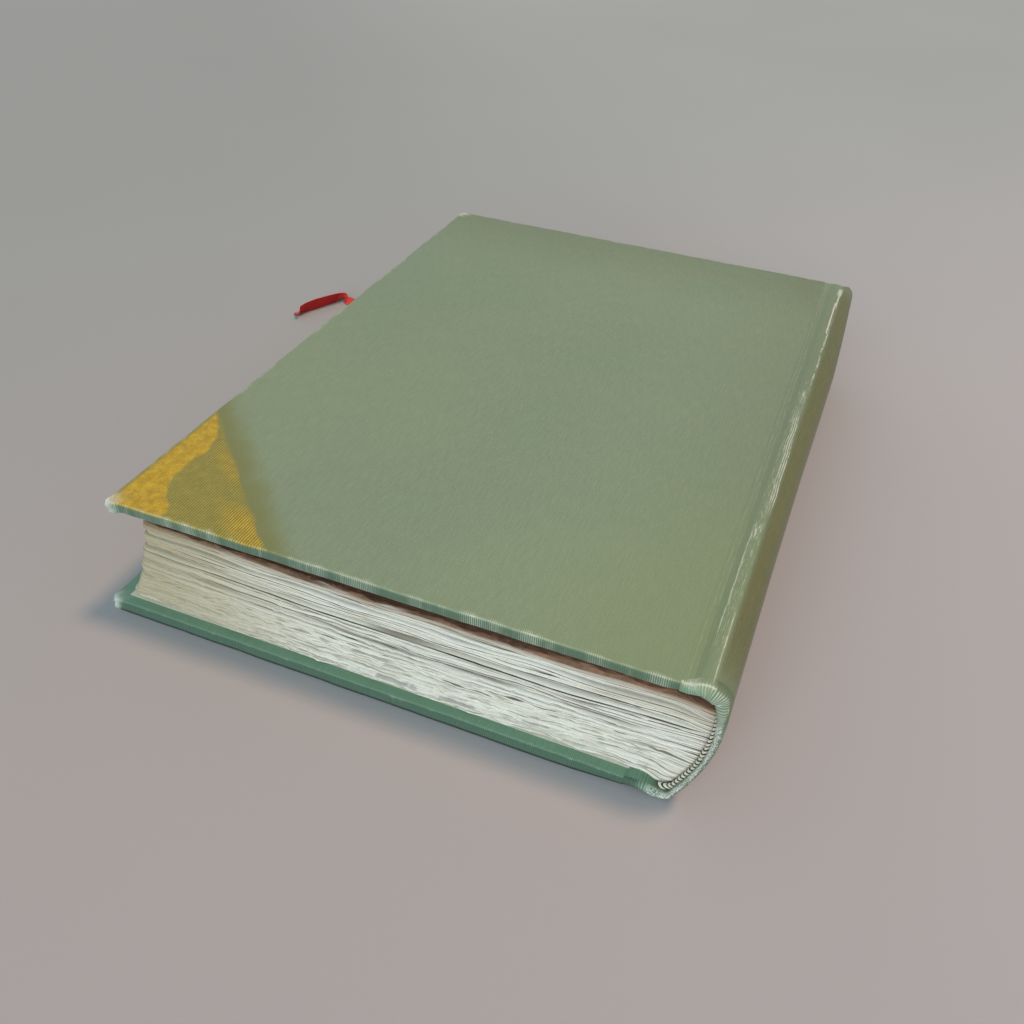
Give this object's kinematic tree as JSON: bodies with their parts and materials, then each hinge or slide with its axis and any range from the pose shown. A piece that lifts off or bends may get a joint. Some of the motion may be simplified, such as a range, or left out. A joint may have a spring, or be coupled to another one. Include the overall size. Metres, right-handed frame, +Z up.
{
  "type": "hardback book",
  "caption": "Old cloth-bound hardback book with deckle-edged pages, rounded hollow spine, striped endbands, hinged covers and a loose ribbon marker.",
  "frame": {"origin": "middle of the book's footprint, on the surface it lies on", "axes": "+X towards the spine, +Y towards the head of the book, +Z up through the back cover"},
  "size_m": [0.2439, 0.24, 0.0459],
  "materials": {
    "pages": "matte handmade paper, cream with grey edges",
    "endpaper": "matte",
    "endpaper_brown": "matte, browned",
    "endband": "wound thread",
    "mull": "open weave",
    "kraft": "matte",
    "card": "matte",
    "board": "matte",
    "cloth_spine": "ribbed bookcloth, darkened and worn",
    "cloth_back": "ribbed bookcloth, faded",
    "cloth_front": "ribbed bookcloth, less faded",
    "ribbon": "silk"
  },
  "bodies": {
    "book_block": {"text_block": "pages", "back_flyleaf": "endpaper_brown", "front_flyleaf": "endpaper", "head_band": "endband", "tail_band": "endband", "mull": "mull", "spine_lining": "kraft", "spine_strip": "card", "spine_cloth": "cloth_spine", "ribbon_marker": "ribbon"},
    "back_cover": {"back_cloth": "cloth_back", "back_board": "board", "back_pastedown": "endpaper_brown", "back_mull": "mull"},
    "front_cover": {"front_cloth": "cloth_front", "front_board": "board", "front_pastedown": "endpaper", "front_mull": "mull"}
  },
  "joints": [
    {"name": "back_hinge", "type": "hinge", "parent": "book_block", "child": "back_cover", "pos_m": [0.08593, 0, 0.04525], "axis": [0, 1, 0], "range_deg": [0, 180]},
    {"name": "front_hinge", "type": "hinge", "parent": "book_block", "child": "front_cover", "pos_m": [0.07813, 0, -0.00015], "axis": [0, -1, 0], "range_deg": [0, 180]}
  ]
}
